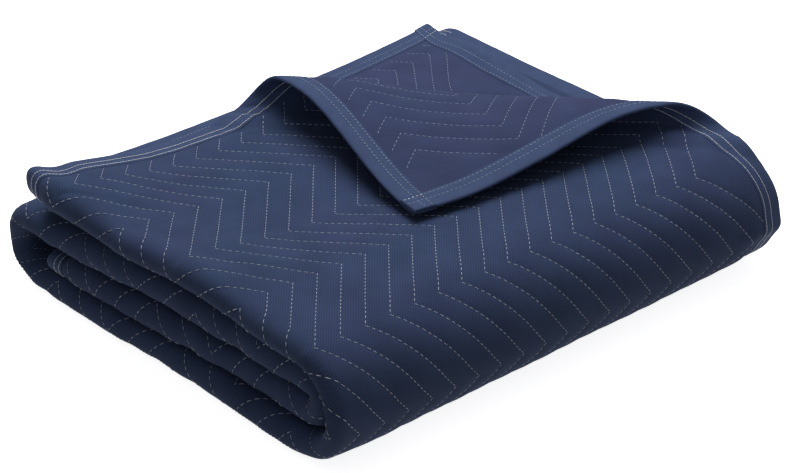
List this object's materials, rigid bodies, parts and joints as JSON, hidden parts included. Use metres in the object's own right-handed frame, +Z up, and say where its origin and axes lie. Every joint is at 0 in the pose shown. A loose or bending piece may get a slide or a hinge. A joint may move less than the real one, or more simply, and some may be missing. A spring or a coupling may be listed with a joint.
{
  "type": "folded moving blanket",
  "caption": "Quilted moving blanket with zigzag stitching and bound edges, folded into a low stack with a corner turned back.",
  "frame": {"origin": "middle of the folded blanket's footprint, on the surface that it rests on", "axes": "+Z up; +X from the back fold to the front fold; +Y from the doubled edge to the open side edges"},
  "size_m": [0.5288, 0.6053, 0.1695],
  "materials": {
    "quilted_cloth": "navy quilted cloth",
    "binding_tape": "navy woven binding tape"
  },
  "bodies": {
    "root": {"quilted_panel": "quilted_cloth", "first_end_binding": "binding_tape", "last_end_binding": "binding_tape", "outer_side_binding": "binding_tape", "inner_side_binding": "binding_tape"}
  },
  "joints": []
}
